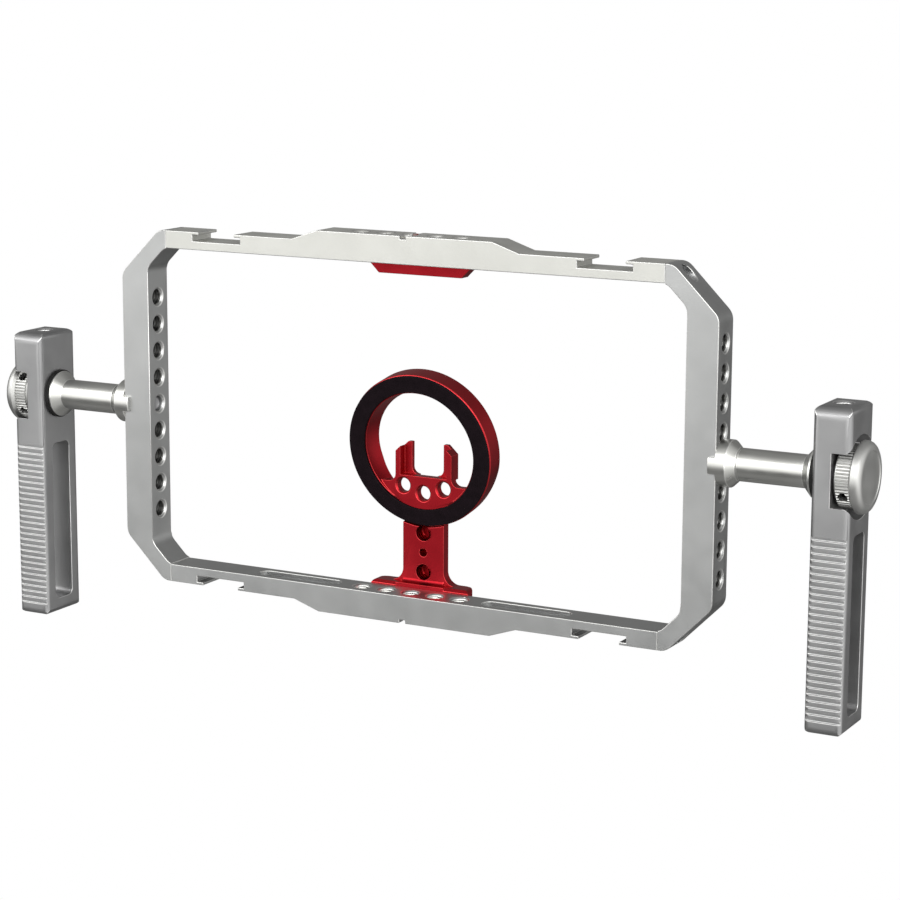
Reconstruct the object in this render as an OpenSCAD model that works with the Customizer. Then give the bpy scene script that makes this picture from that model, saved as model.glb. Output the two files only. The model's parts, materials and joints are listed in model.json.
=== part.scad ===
// Phone cage with two swivelling side handles.
// Four screwed frame pieces make a rectangle with cut corners. A bracket behind the bottom bar
// carries a ring of magnets under a pad, and each handle is clamped to its post by a bolt and knob.
// Millimetres. X runs to the right, Y to the back and Z up. The origin lies on the floor under the
// middle of the cage, which stands on the feet of its two handles.

/* [Frame] */
// Outside width of the frame
frame_w = 218; // [200:1:240]
// Outside height of the frame at the ends of its bars
frame_h = 121; // [110:1:140]
// Depth of the frame, front to back
frame_d = 11.5; // [10.5:0.25:13]
// Width of each upright
upright_w = 10.5; // [9:0.25:13]
// Thickness of a bar at its ends
bar_t = 6; // [5.6:0.1:8]
// Legs of the 45 degree cut on each outer corner
corner_cut = 15.2; // [13:0.2:18]
// Legs of the 45 degree fill in each inner corner
corner_fill = 7; // [4:0.5:7.5]
// Level arm of an upright, from its corner cut to the seam with the bar
corner_arm = 2.8; // [2.6:0.1:4]

/* [Bars] */
// How far the middle of a bar stands out from its ends
raise_t = 3.2; // [2:0.1:5]
// Half length of the raised flat
raise_half = 32; // [28:0.5:36]
// Length of the slope at each end of the raised flat
raise_slope = 9.5; // [5:0.5:12]
// Width of the centre mark across the raised flat
mark_w = 2.2; // [1:0.1:3]
// Depth of the centre mark
mark_t = 1.1; // [0.5:0.1:1.5]
// Width of a cold shoe between its walls
shoe_w = 18.8; // [18.5:0.1:19.2]
// Width of a cold shoe between its lips
shoe_mouth = 14; // [12.5:0.25:15]
// Thickness of the cold shoe's lips
lip_t = 1; // [0.8:0.1:1.4]
// Height of the space under the lips
shoe_t = 2.1; // [1.9:0.1:2.4]
// Wall between a cold shoe and the seam
shoe_wall = 10.7; // [9.5:0.1:13]
// Width of the long pocket in the inner face of a bar
pocket_w = 6; // [4:0.5:7]
// Depth of the long pocket
pocket_t = 2.6; // [1.5:0.1:3]
// Metal left between a pocket and the cold shoe beside it
pocket_wall = 3; // [2:0.5:6]
// Metal left between a pocket and the last tapped hole
pocket_gap = 8.4; // [6:0.2:12]

/* [Tapped holes] */
// Wall radius of a quarter inch tapped hole
thread_r = 2.55; // [2.5:0.01:2.6]
// Radius of the countersunk mouth of a tapped hole
mouth_r = 3.2; // [2.9:0.1:3.6]
// Distance between neighbouring holes
hole_pitch = 9.2; // [8:0.1:10]
// Holes above and below the middle hole of an upright
side_pairs = 4; // [1:1:4]
// Holes to the left and right of the middle hole of a bar
bar_pairs = 2; // [1:1:2]

/* [Ring bracket] */
// Outer radius of the ring
ring_r = 26.2; // [24:0.1:28]
// Inner radius of the ring at its front
ring_bore_r = 19.9; // [18:0.1:21]
// Inner radius of the ring at its back
bore_back_r = 18.8; // [17:0.1:20]
// Depth of the ring behind its pad
ring_t = 7.2; // [5:0.1:8]
// Angle by which the top of the ring leans forward
ring_lean = 9.2; // [0:0.1:10]
// How far the middle of the pad's front lies ahead of the back of the frame
ring_set = 0.95; // [0:0.05:2]
// Space between the back of the frame and the flat back of the bracket
bracket_back = 7.65; // [7:0.05:9]
// Visible length of the stem, from the foot to the ring
stem_len = 18.8; // [17:0.1:30]
// Width of the stem
stem_w = 15.3; // [12:0.1:18]
// Space between the back of the frame and the front of the stem
stem_set = 2.85; // [1.8:0.05:3.4]
// Thickness of the stem
stem_t = 3.5; // [3:0.1:4.5]
// Half width of the rib behind the stem
spine_half = 4.5; // [4:0.1:7]
// Half width of the foot plate
foot_half = 18.4; // [17:0.1:22]
// Metal of the foot plate under the heads of its screws
foot_t = 2.4; // [2:0.1:2.8]
// How far the foot plate stands up past the inner face of the bar
foot_rise = 1.3; // [0.8:0.1:2]
// Height of the foot plate
foot_h = 9.3; // [8:0.1:10]
// Height of the lowest hole of the stem above the foot plate
stem_hole_rise = 3.8; // [3.4:0.1:5]
// Distance between the holes of the stem
stem_pitch = 6.6; // [6.2:0.1:7]
// Radius of the small hole in the middle of the stem
stem_small_r = 1.3; // [1.1:0.1:2.2]
// Metal of the rib left behind the holes of the stem
stem_floor = 0.6; // [0.5:0.1:1.2]
// Thickness of the web inside the ring
web_t = 3.2; // [2.4:0.1:3.8]
// Depth of the prongs, whose front is flush with the web
prong_t = 5; // [4.4:0.1:5.6]
// How far the web reaches into the wall of the ring
web_seat = 0.3; // [0.2:0.1:0.6]
// Top of the web between the prongs, below the middle of the ring
web_drop = 9; // [7:0.1:9.6]
// Top of the web outside the prongs, below the middle of the ring
web_side_drop = 11.4; // [10.5:0.1:12]
// Half of the gap between the steps of the prongs
fork_half = 5.9; // [5:0.1:8.5]
// Width of the thin step on the inner side of a prong, at its back
step_w = 2.75; // [1.5:0.05:3.5]
// Width of a prong in front of its step
prong_w = 1.85; // [1.2:0.05:3]
// Height of the inner edge of a prong above the middle of the ring
prong_tip = 1.8; // [1:0.1:5]
// Drop of the bevel on the outer side of a prong
prong_bevel = 2.9; // [1:0.1:4]
// Width of that bevel
prong_slant = 3.1; // [1:0.1:4]
// Radius of the web's three holes
web_hole_r = 2.4; // [1.5:0.1:2.5]
// Radius of the arc that the web's holes lie on
web_arc_r = 14.6; // [14.4:0.1:15.1]
// Angle between neighbouring holes of the web
web_step = 31; // [28:1:33]
// Countersink at the front of the web's holes
web_sink = 0.5; // [0.2:0.1:0.6]
// Countersink at the front of the stem's holes
stem_sink = 0.2; // [0.1:0.1:0.5]
// Chamfer on the edges of the ring
ring_edge = 0.3; // [0.2:0.1:0.8]
// Radius of the hollow corner between the web and the step of a prong
fork_fillet = 2.4; // [0.5:0.1:3]
// Radius of the hollow corner outside a prong
web_fillet = 2.5; // [1:0.1:3]
// Radius of the hollow corner between the foot plate and the side of the stem
foot_fillet = 4.5; // [1:0.1:5.5]
// Radius of the hollow corner between the foot plate and the front of the stem
stem_fillet_r = 1.4; // [0.5:0.1:1.7]
// Radius of the upper corners of the foot plate
foot_top_r = 1.8; // [0.8:0.1:2.4]
// Half length of the plain ledge in the middle of the foot plate's upper front edge
ledge_half = 9.1; // [8:0.1:12]
// Legs of the 45 degree cut along that edge outside the ledge
ear_cut = 1; // [0.5:0.1:1.2]
// Radius of the lower corners of the foot plate
foot_low_r = 1; // [0.5:0.1:2]
// Radius of the foot plate's upright corners at the back
foot_end_r = 4.4; // [1:0.1:5]

/* [Pad and magnets] */
// Outer radius of the pad
pad_r = 25.9; // [24.7:0.1:26.2]
// Inner radius of the pad
pad_bore_r = 20.3; // [19.5:0.1:21]
// Thickness of the pad
pad_t = 0.8; // [0.6:0.1:1.2]
// Width of the rim on both sides of the magnet groove
groove_rim = 1.2; // [1:0.1:1.6]
// Depth of the magnet groove
groove_t = 3; // [2.4:0.1:3.4]
// Thickness of the steel ring behind the magnets
yoke_t = 0.8; // [0.5:0.1:1]
// Number of magnets
magnet_count = 16; // [8:1:24]
// Gap between neighbouring magnets, in degrees
magnet_gap = 2; // [1:0.5:4]

/* [Top block] */
// Half width of the block behind the top bar
block_half = 18.4; // [17:0.1:22]
// Thickness of the block
block_t = 4.4; // [4.2:0.1:5]
// How far the block hangs below the inner face of the top bar
block_drop = 4.7; // [3.5:0.1:6]
// Height of the block
block_h = 13; // [12:0.1:14]
// Legs of the 45 degree cut on the lower corners of the block
block_cut = 3.1; // [1:0.1:3.4]

/* [Screws] */
// Half distance between the screws that hold the bracket and the block
rear_screw_x = 13.8; // [13.6:0.05:14]
// Height of these screws, measured out from the inner face of the bar
rear_screw_rise = 4.6; // [4:0.1:5]
// Radius of a screw's shank
screw_r = 1.25; // [1:0.05:1.4]
// Radius of a screw's head
screw_head_r = 2.25; // [2:0.05:2.3]
// Length of a screw's head
screw_head_t = 1.8; // [1.4:0.1:2]
// Radius of the hexagon socket in a screw's head
screw_socket_r = 1.25; // [0.8:0.05:1.5]
// Depth of that socket
screw_socket_t = 0.9; // [0.6:0.1:1.2]
// Radial room around a screw's head
head_gap = 0.15; // [0.1:0.05:0.3]
// Depth of a screw in the bar
screw_bite = 6; // [4:0.5:7]
// Metal under the head of a corner screw
corner_land = 1; // [0.8:0.1:1.2]
// Radial gap around a fixed screw or pin
fit_gap = 0.05; // [0.03:0.01:0.1]

/* [Posts] */
// Length of the collar's full cylinder next to the frame
collar_land = 3.4; // [2.5:0.1:4]
// Length of the collar's cone
collar_cone = 2.4; // [2:0.1:4.5]
// Length of the collar between its cone and the post
collar_tail = 0.4; // [0.3:0.1:4]
// Thickness of the two lugs that hold the collar on the frame
lug_t = 1.65; // [0.6:0.05:2.2]
// Length of the lugs
lug_len = 2.2; // [1:0.1:3]
// Height of the lugs
lug_h = 5.2; // [4:0.1:7]
// Chamfer on both sides of the seam between collar and post
seam_edge = 0.2; // [0.1:0.05:0.4]
// Length of the post from the collar to the handle's washer
post_len = 24.6; // [16:0.1:40]
// Outer radius of the post
post_r = 5.15; // [4.3:0.05:5.6]
// Radius of the bore of the post and the collar
post_bore_r = 3.5; // [3.5:0.05:3.8]
// Radius of the post's flange
flange_r = 7.9; // [7:0.1:8.5]
// Length of the flange's rim
flange_rim = 0.7; // [0.4:0.1:1.2]
// Length of the flange's cone
flange_cone = 2.6; // [2:0.1:4]
// Radius of the washer between flange and handle
grip_washer_r = 8.3; // [7.5:0.1:8.8]
// Thickness of that washer
grip_washer_t = 1.2; // [0.8:0.1:2]

/* [Handles] */
// Width of a handle, along X
handle_w = 12.2; // [11.6:0.1:14]
// Depth of a handle, front to back
handle_d = 20; // [16:0.25:22]
// Height from the foot of a handle to the axis of its post
handle_drop = 78.5; // [74:0.5:110]
// Height of a handle above that axis
handle_rise = 22; // [21:0.25:28]
// Radius of the upright edges of a handle
edge_r = 2.1; // [0.8:0.1:2.5]
// Radius of the front and back edges of a handle's top
top_r = 4; // [2:0.1:5]
// Radius of the side edges of a handle's top
top_side_r = 2.2; // [1:0.1:3]
// Radius of the edges round the foot of a handle
foot_r = 2.4; // [0.5:0.1:2.6]
// Width of the slot through a handle
slot_w = 9.6; // [8:0.1:11]
// Top of the slot, below the axis
slot_top = 17.4; // [16:0.1:20]
// Metal under the slot
slot_floor = 5.2; // [4:0.1:8]
// Radius of the corners of the slot
slot_r = 2; // [1:0.1:3.5]
// Distance from one rib to the next
rib_pitch = 2.07; // [1.6:0.01:2.4]
// Width of the groove between two ribs
rib_gap = 0.9; // [0.5:0.05:1.2]
// Depth of the groove between two ribs
rib_t = 0.7; // [0.3:0.05:1]
// Top of the ribbed stretch, below the axis
rib_top = 17.6; // [16:0.1:20]
// Metal left plain under the ribs
rib_floor = 2.8; // [2.8:0.1:8]
// Depth of the tapped hole in the top of a handle
top_hole_t = 7.4; // [5:0.1:8.5]

/* [Knobs] */
// Radius of the recess for the knob in the outer face of a handle
recess_r = 12.9; // [12:0.1:14]
// Depth of the recess
recess_t = 6; // [4.8:0.1:6.4]
// Thickness of the steel washer under the knob
knob_washer_t = 0.6; // [0.5:0.1:1]
// Radius of that washer
knob_washer_r = 6.4; // [5:0.1:6.8]
// Radius of the knurled barrel
barrel_r = 10; // [7:0.1:10.5]
// Length of the barrel, with its plain end
barrel_len = 4.9; // [3:0.1:5.5]
// Number of grooves in the knurl
knurl_count = 60; // [30:1:70]
// Depth of the knurl
knurl_t = 0.35; // [0.2:0.05:0.5]
// Share of each step of the knurl that stays at full radius
knurl_land = 0.45; // [0.2:0.05:0.7]
// Length of the barrel's plain inner end
lead_len = 0.7; // [0.4:0.1:1]
// Depth of the plain end under the bottom of the knurl
lead_step = 0.2; // [0.1:0.05:0.4]
// Chamfer at the rim of the plain end
lead_edge = 0.4; // [0.2:0.1:0.6]
// Step from the barrel out to the start of the flare
neck_step = 0.15; // [0.1:0.05:0.4]
// Length of the flare from barrel to cap
flare_len = 0.8; // [0.6:0.1:3.5]
// Radius of the knob's cap
cap_r = 11.2; // [10.5:0.1:11.8]
// Length of the cap's rim
cap_rim = 0.4; // [0.2:0.1:1]
// Length of the rounded shoulder of the cap
cap_round = 2.6; // [1:0.1:3]
// Radius of the cap's flat face
cap_face_r = 8.9; // [8:0.1:9.4]
// Depth of the shallow dish in the cap's face
dish_t = 0.25; // [0.1:0.05:0.5]
// Width of the ledge round the dish
dish_rim = 0.7; // [0.4:0.1:1.5]
// Radius of the clamp bolt's shank
bolt_r = 3.15; // [3:0.01:3.2]
// Running clearance of the bolt in the handle, and of its threaded end in the frame
run_gap = 0.05; // [0.03:0.01:0.09]
// Chamfer at the tip of the bolt
bolt_point = 0.6; // [0.3:0.1:1]
// Gap between the shoulder of the bolt and the upright
bolt_gap = 0.3; // [0.2:0.1:1]
// Length of the frame's thread that the bolt leaves free
bolt_short = 1.5; // [0.5:0.1:4]
// Depth of the bolt in the knob
bolt_seat = 6.2; // [5:0.1:6.4]
// Radius of a set screw
set_r = 1.5; // [1:0.05:1.6]
// How far a set screw lies under the knurl
set_sink = 1.2; // [0.5:0.1:2]
// Distance of the set screws from the inner end of the barrel
set_rise = 2.8; // [1.8:0.1:3]
// Radius of the hexagon socket in a set screw
set_socket_r = 0.75; // [0.5:0.05:0.9]
// Depth of that socket
set_socket_t = 1; // [0.5:0.1:1.5]
// Angle between a knob's two set screws
set_spread = 76; // [60:1:180]
// Turn of the first set screw of the right knob, up from the front
right_turn = -31; // [-180:1:180]
// Turn of the first set screw of the left knob, up from the front
left_turn = 38; // [-180:1:180]

/* [Hidden] */
$fn = 72;

metal = [0.70, 0.70, 0.68];
satin = [0.78, 0.78, 0.75];
red = [0.66, 0.05, 0.08];
black = [0.06, 0.06, 0.06];
steel = [0.45, 0.46, 0.48];

// Overrun of a cut past the face that it leaves
over = 0.5;

axis_z = handle_drop;
half_w = frame_w / 2;
half_h = frame_h / 2;
half_d = frame_d / 2;
seam_x = half_w - corner_cut - corner_arm;
inner_x = half_w - upright_w;
inner_z = half_h - bar_t;
raise_z = half_h + raise_t;
mid_bar_t = bar_t + raise_t;

shoe_x = seam_x - shoe_wall - shoe_w / 2;
shoe_floor_z = half_h - lip_t - shoe_t;
pocket_x0 = bar_pairs * hole_pitch + pocket_gap;
pocket_x1 = shoe_x - shoe_w / 2 - pocket_wall;
corner_screw_z = inner_z + bar_t / 2;
rear_screw_z = inner_z + rear_screw_rise;
screw_hole_r = screw_r + fit_gap;
head_hole_r = screw_head_r + head_gap;

pad_y0 = half_d - ring_set;
ring_y0 = pad_y0 + pad_t;
ring_y1 = ring_y0 + ring_t;
back_y = half_d + bracket_back;
foot_y1 = half_d + foot_t;
stem_y0 = half_d + stem_set;
stem_y1 = stem_y0 + stem_t;
stem_hole_y1 = back_y - stem_floor;
foot_top = -inner_z + foot_rise;
foot_bottom = foot_top - foot_h;
ring_z = foot_top + stem_len + ring_r;
web_y0 = back_y - prong_t;
web_y1 = web_y0 + web_t;
fork_out = fork_half + step_w + prong_w;
fork_r = ring_bore_r + web_seat;
stem_hole_z = foot_top + stem_hole_rise;
groove_r0 = ring_bore_r + groove_rim;
groove_r1 = ring_r - groove_rim;
groove_y1 = ring_y0 + groove_t;
yoke_y0 = groove_y1 - yoke_t;
magnet_y0 = ring_y0 + fit_gap;
magnet_step = 360 / magnet_count;

collar_r = half_d + lug_t;
post_x0 = half_w + collar_land + collar_cone + collar_tail;
post_x1 = post_x0 + post_len;
handle_x0 = post_x1 + grip_washer_t;
handle_x1 = handle_x0 + handle_w;
handle_mid_x = handle_x0 + handle_w / 2;
recess_x = handle_x1 - recess_t;
knob_x0 = recess_x + knob_washer_t;
flare_x = knob_x0 + barrel_len;
cap_x = flare_x + flare_len;
cap_face_x = cap_x + cap_rim + cap_round;
bolt_bore_r = bolt_r + run_gap;
bolt_tip_r = thread_r - run_gap;
bolt_tip_x = inner_x + bolt_short;
bolt_step_x = half_w + bolt_gap;
bolt_head_x = knob_x0 + bolt_seat;
set_x = knob_x0 + set_rise;

front_reach = max(cap_r, handle_d / 2);
mid_y = (max(back_y, front_reach) - front_reach) / 2;

// Moves a piece from the frame's middle to its height above the floor, with the whole depth centred
module at_axis() {
    translate([0, -mid_y, axis_z]) children();
}

// Outline in X and Z, made solid from y0 at the front to y1 at the back
module slab(y0, y1) {
    translate([0, y1, 0]) rotate([90, 0, 0]) linear_extrude(y1 - y0) children();
}

// Shape made along Z, laid along X
module along_x() {
    rotate([0, 90, 0]) children();
}

// Shape made along Z, laid along Y towards the back
module along_y() {
    rotate([-90, 0, 0]) children();
}

// Turned piece on the X axis from points of radius and X
module turned_x(points) {
    along_x() rotate_extrude() polygon(points);
}

// Outline with round corners, from z0 up to z1, centred on X
module round_panel(w, z0, z1, r0, r1) {
    translate([-w / 2 + r0, z0]) square([w - 2 * r0, z1 - z0 - r1]);
    translate([-w / 2 + r1, z0 + r0]) square([w - 2 * r1, z1 - z0 - r0]);
    translate([-w / 2, z0 + r0]) square([w, z1 - z0 - r0 - r1]);
    for (side = [-1, 1]) {
        translate([side * (w / 2 - r0), z0 + r0]) circle(r = r0);
        translate([side * (w / 2 - r1), z1 - r1]) circle(r = r1);
    }
}

// Hollow fillet of radius r in the corner at the origin, filling towards +X and +Z
module fillet(r) {
    difference() {
        translate([-over, -over]) square(r + over);
        translate([r, r]) circle(r = r);
    }
}

// Tapped hole along Z from 0 to its length, countersunk at both mouths
module tapped_hole(length) {
    sink = mouth_r - thread_r;
    translate([0, 0, -over]) cylinder(r = thread_r, h = length + 2 * over);
    translate([0, 0, -over]) cylinder(r1 = mouth_r + over, r2 = thread_r, h = sink + over);
    translate([0, 0, length - sink]) cylinder(r1 = thread_r, r2 = mouth_r + over, h = sink + over);
}

// Socket head screw along Z: the head stands on z = 0 and the shank runs down
module cap_screw(shank) {
    difference() {
        union() {
            translate([0, 0, -shank]) cylinder(r = screw_r, h = shank + over);
            cylinder(r = screw_head_r, h = screw_head_t);
        }
        translate([0, 0, screw_head_t - screw_socket_t])
            cylinder(r = screw_socket_r, h = screw_socket_t + over, $fn = 6);
    }
}

// Hole for such a screw, with room for its head up to the given depth
module screw_hole(shank, head_room) {
    translate([0, 0, -shank - over]) cylinder(r = screw_hole_r, h = shank + 2 * over);
    cylinder(r = head_hole_r, h = head_room);
}

// Right upright with its two corner arms
module upright() {
    difference() {
        slab(-half_d, half_d) polygon([
            [seam_x, half_h], [half_w - corner_cut, half_h], [half_w, half_h - corner_cut],
            [half_w, corner_cut - half_h], [half_w - corner_cut, -half_h], [seam_x, -half_h],
            [seam_x, -inner_z], [inner_x - corner_fill, -inner_z], [inner_x, corner_fill - inner_z],
            [inner_x, inner_z - corner_fill], [inner_x - corner_fill, inner_z], [seam_x, inner_z]
        ]);
        for (step = [-side_pairs : side_pairs])
            translate([inner_x, 0, step * hole_pitch]) along_x() tapped_hole(upright_w);
        for (end = [-1, 1])
            translate([seam_x + corner_land, 0, end * corner_screw_z])
                along_x() screw_hole(corner_land, corner_cut);
    }
}

module left_upright() {
    color(metal) at_axis() mirror([1, 0, 0]) upright();
}

module right_upright() {
    color(metal) at_axis() upright();
}

// Cold shoe cut, with z = 0 at the outer face of the bar
module shoe_cut() {
    translate([-shoe_mouth / 2, -lip_t - shoe_t / 2]) square([shoe_mouth, lip_t + shoe_t / 2 + over]);
    translate([-shoe_w / 2, -lip_t - shoe_t]) square([shoe_w, shoe_t]);
}

module bar_outline() {
    slope_end = raise_half + raise_slope;
    difference() {
        polygon([
            [-seam_x, inner_z], [seam_x, inner_z], [seam_x, half_h], [slope_end, half_h],
            [raise_half, raise_z], [-raise_half, raise_z], [-slope_end, half_h], [-seam_x, half_h]
        ]);
        for (side = [-1, 1])
            translate([side * shoe_x, half_h]) shoe_cut();
        translate([-mark_w / 2, raise_z - mark_t]) square([mark_w, mark_t + over]);
    }
}

// Long pocket with round ends in the inner face of the bar
module pocket() {
    r = pocket_w / 2;
    translate([pocket_x0 + r, -r, inner_z - over])
        cube([pocket_x1 - pocket_x0 - pocket_w, pocket_w, pocket_t + over]);
    for (x = [pocket_x0 + r, pocket_x1 - r])
        translate([x, 0, inner_z - over]) cylinder(r = r, h = pocket_t + over);
}

// Top bar; the bottom bar is the same piece turned over
module bar() {
    difference() {
        slab(-half_d, half_d) bar_outline();
        for (step = [-bar_pairs : bar_pairs])
            translate([step * hole_pitch, 0, inner_z]) tapped_hole(mid_bar_t);
        for (side = [0, 1])
            mirror([side, 0, 0]) {
                pocket();
                translate([seam_x - screw_bite - corner_land, 0, corner_screw_z])
                    along_x() cylinder(r = screw_hole_r, h = screw_bite + corner_land + over);
                translate([rear_screw_x, half_d - screw_bite - over, rear_screw_z])
                    along_y() cylinder(r = screw_hole_r, h = screw_bite + 2 * over);
            }
    }
}

module top_bar() {
    color(metal) at_axis() bar();
}

module bottom_bar() {
    color(metal) at_axis() mirror([0, 0, 1]) bar();
}

module corner_screws() {
    color(steel) at_axis()
        for (side = [0, 1])
            mirror([side, 0, 0])
                for (end = [-1, 1])
                    translate([seam_x + corner_land, 0, end * corner_screw_z])
                        along_x() cap_screw(screw_bite);
}

// Tips a piece of the ring forward about the middle of the pad's front
module lean() {
    translate([0, pad_y0, ring_z]) rotate([ring_lean, 0, 0]) translate([0, -pad_y0, 0]) children();
}

// Leaning ring with chamfered edges and a bore that narrows to the back
module ring_body() {
    c = ring_edge;
    lean() along_y() rotate_extrude() polygon([
        [ring_bore_r, ring_y0], [ring_r - c, ring_y0], [ring_r, ring_y0 + c], [ring_r, ring_y1 - c],
        [ring_r - c, ring_y1], [bore_back_r + c, ring_y1], [bore_back_r, ring_y1 - c]
    ]);
}

// Cut for the magnets and their steel ring in the front of the ring
module magnet_groove() {
    lean() along_y() rotate_extrude()
        translate([groove_r0, ring_y0 - over]) square([groove_r1 - groove_r0, groove_t + over]);
}

// Cut that keeps the stem and the web clear of the pad
module pad_room() {
    lean() along_y() rotate_extrude()
        translate([pad_bore_r - fit_gap, pad_y0 - frame_d])
            square([ring_r - pad_bore_r + 2 * fit_gap, frame_d + pad_t]);
}

// Web inside the ring, up to the wall of the ring
module web_outline() {
    intersection() {
        circle(r = fork_r);
        union() {
            translate([-fork_r, -fork_r]) square([2 * fork_r, fork_r - web_side_drop]);
            translate([-fork_out, -fork_r]) square([2 * fork_out, fork_r - web_drop]);
            for (side = [0, 1])
                mirror([side, 0]) translate([fork_out, -web_side_drop]) fillet(web_fillet);
        }
    }
}

// One prong from its inner edge outward, and down into the web
module prong_outline(inner) {
    foot = -web_drop - over;
    intersection() {
        translate([inner, foot]) square([fork_out - inner, prong_tip - foot]);
        polygon([
            [0, foot], [fork_out, foot], [fork_out, prong_tip - prong_bevel],
            [fork_out - prong_slant, prong_tip], [0, prong_tip]
        ]);
    }
}

// Web and two prongs with their steps
module fork() {
    translate([0, 0, ring_z]) {
        slab(web_y0, web_y1) web_outline();
        for (side = [0, 1])
            mirror([side, 0, 0]) {
                slab(web_y0, back_y) prong_outline(fork_out - prong_w);
                slab(web_y1, back_y) {
                    prong_outline(fork_half);
                    translate([fork_half, -web_drop]) mirror([1, 0]) fillet(fork_fillet);
                }
            }
    }
}

// Hole along Y from a face at y0 to its end at y1, with a countersunk front
module front_hole(r, sink, y0, y1) {
    translate([0, y0 - over, 0]) along_y() {
        cylinder(r = r, h = y1 - y0 + over);
        cylinder(r1 = r + sink + over, r2 = r, h = sink + over);
    }
}

// Plate behind the bottom bar, with its upper front edge cut on both sides of the ledge
module foot_plate() {
    difference() {
        slab(half_d, stem_y1) round_panel(2 * foot_half, foot_bottom, foot_top, foot_low_r, foot_top_r);
        for (side = [0, 1])
            mirror([side, 0, 0]) translate([ledge_half, half_d, foot_top]) rotate([90, 0, 90])
                linear_extrude(foot_half)
                    polygon([[-over, -ear_cut - over], [ear_cut + over, over], [-over, over]]);
        for (side = [0, 1])
            mirror([side, 0, 0]) translate([foot_half, stem_y1, foot_bottom - over])
                linear_extrude(foot_h + 2 * over) rotate(180) fillet(foot_end_r);
    }
}

// Stem with a hollow fillet from the foot plate up to each of its sides, and a rib behind it
module stem() {
    stem_end = ring_z - (ring_bore_r + ring_r) / 2;
    slab(stem_y0, back_y)
        translate([-spine_half, foot_bottom]) square([2 * spine_half, stem_end - foot_bottom]);
    slab(stem_y0, stem_y1) {
        translate([-stem_w / 2, foot_bottom]) square([stem_w, stem_end - foot_bottom]);
        for (side = [0, 1])
            mirror([side, 0]) translate([stem_w / 2, foot_top]) fillet(foot_fillet);
    }
}

// Hollow fillet along the front of the stem where it meets the top of the foot plate
module stem_fillet() {
    translate([-stem_w / 2, 0, 0]) rotate([90, 0, 90]) linear_extrude(stem_w)
        translate([stem_y0, foot_top]) mirror([1, 0]) fillet(stem_fillet_r);
}

module ring_bracket() {
    color(red) at_axis() difference() {
        union() {
            ring_body();
            fork();
            stem();
            foot_plate();
            stem_fillet();
        }
        magnet_groove();
        pad_room();
        translate([-2 * ring_r, back_y, ring_z - 2 * ring_r]) cube([4 * ring_r, ring_r, 4 * ring_r]);
        for (step = [-1, 0, 1])
            translate([web_arc_r * sin(step * web_step), 0, ring_z - web_arc_r * cos(step * web_step)])
                front_hole(web_hole_r, web_sink, web_y0, web_y1 + over);
        for (step = [0, 2])
            translate([0, 0, stem_hole_z + step * stem_pitch])
                front_hole(thread_r, stem_sink, stem_y0, stem_hole_y1);
        translate([0, 0, stem_hole_z + stem_pitch])
            front_hole(stem_small_r, stem_sink, stem_y0, stem_hole_y1);
        for (side = [-1, 1])
            translate([side * rear_screw_x, foot_y1, -rear_screw_z])
                along_y() screw_hole(foot_t, bracket_back);
    }
}

module ring_pad() {
    c = pad_t / 4;
    color(black) at_axis() lean() along_y() rotate_extrude() polygon([
        [pad_bore_r, pad_y0 + c], [pad_bore_r + c, pad_y0], [pad_r - c, pad_y0], [pad_r, pad_y0 + c],
        [pad_r, ring_y0], [pad_bore_r, ring_y0]
    ]);
}

module ring_magnets() {
    color(satin) at_axis() lean() along_y()
        for (step = [0 : magnet_count - 1])
            rotate(step * magnet_step) rotate_extrude(angle = magnet_step - magnet_gap)
                translate([groove_r0 + fit_gap, magnet_y0])
                    square([groove_r1 - groove_r0 - 2 * fit_gap, yoke_y0 - magnet_y0]);
}

module magnet_yoke() {
    color(steel) at_axis() lean() along_y() rotate_extrude()
        translate([groove_r0 + fit_gap, yoke_y0]) square([groove_r1 - groove_r0 - 2 * fit_gap, yoke_t]);
}

module top_block() {
    z0 = inner_z - block_drop;
    z1 = z0 + block_h;
    color(red) at_axis() difference() {
        slab(half_d, half_d + block_t) polygon([
            [-block_half, z1], [-block_half, z0 + block_cut], [block_cut - block_half, z0],
            [block_half - block_cut, z0], [block_half, z0 + block_cut], [block_half, z1]
        ]);
        for (side = [-1, 1])
            translate([side * rear_screw_x, foot_y1, rear_screw_z]) along_y() screw_hole(foot_t, block_t);
    }
}

// The two screws of the foot plate and the two of the top block
module rear_screws() {
    color(steel) at_axis()
        for (side = [-1, 1])
            for (end = [-1, 1])
                translate([side * rear_screw_x, foot_y1, end * rear_screw_z])
                    along_y() cap_screw(foot_t + screw_bite - over);
}

// Collar that seats the post on the upright; two lugs reach over the upright's front and back
module collar() {
    difference() {
        turned_x([
            [post_bore_r, half_w - lug_len], [collar_r, half_w - lug_len], [collar_r, half_w + collar_land],
            [post_r, half_w + collar_land + collar_cone], [post_r, post_x0 - seam_edge],
            [post_r - seam_edge, post_x0], [post_bore_r, post_x0]
        ]);
        translate([half_w - lug_len - over, -half_d - fit_gap, -collar_r - over])
            cube([lug_len + over, frame_d + 2 * fit_gap, 2 * (collar_r + over)]);
        for (end = [0, 1])
            mirror([0, 0, end]) translate([half_w - lug_len - over, -collar_r - over, lug_h / 2])
                cube([lug_len + over, 2 * (collar_r + over), collar_r]);
    }
}

module post() {
    turned_x([
        [post_bore_r, post_x0], [post_r - seam_edge, post_x0], [post_r, post_x0 + seam_edge],
        [post_r, post_x1 - flange_rim - flange_cone], [flange_r, post_x1 - flange_rim], [flange_r, post_x1],
        [post_bore_r, post_x1]
    ]);
}

module grip_washer() {
    turned_x([
        [post_bore_r, post_x1], [grip_washer_r, post_x1], [grip_washer_r, handle_x0], [post_bore_r, handle_x0]
    ]);
}

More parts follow.
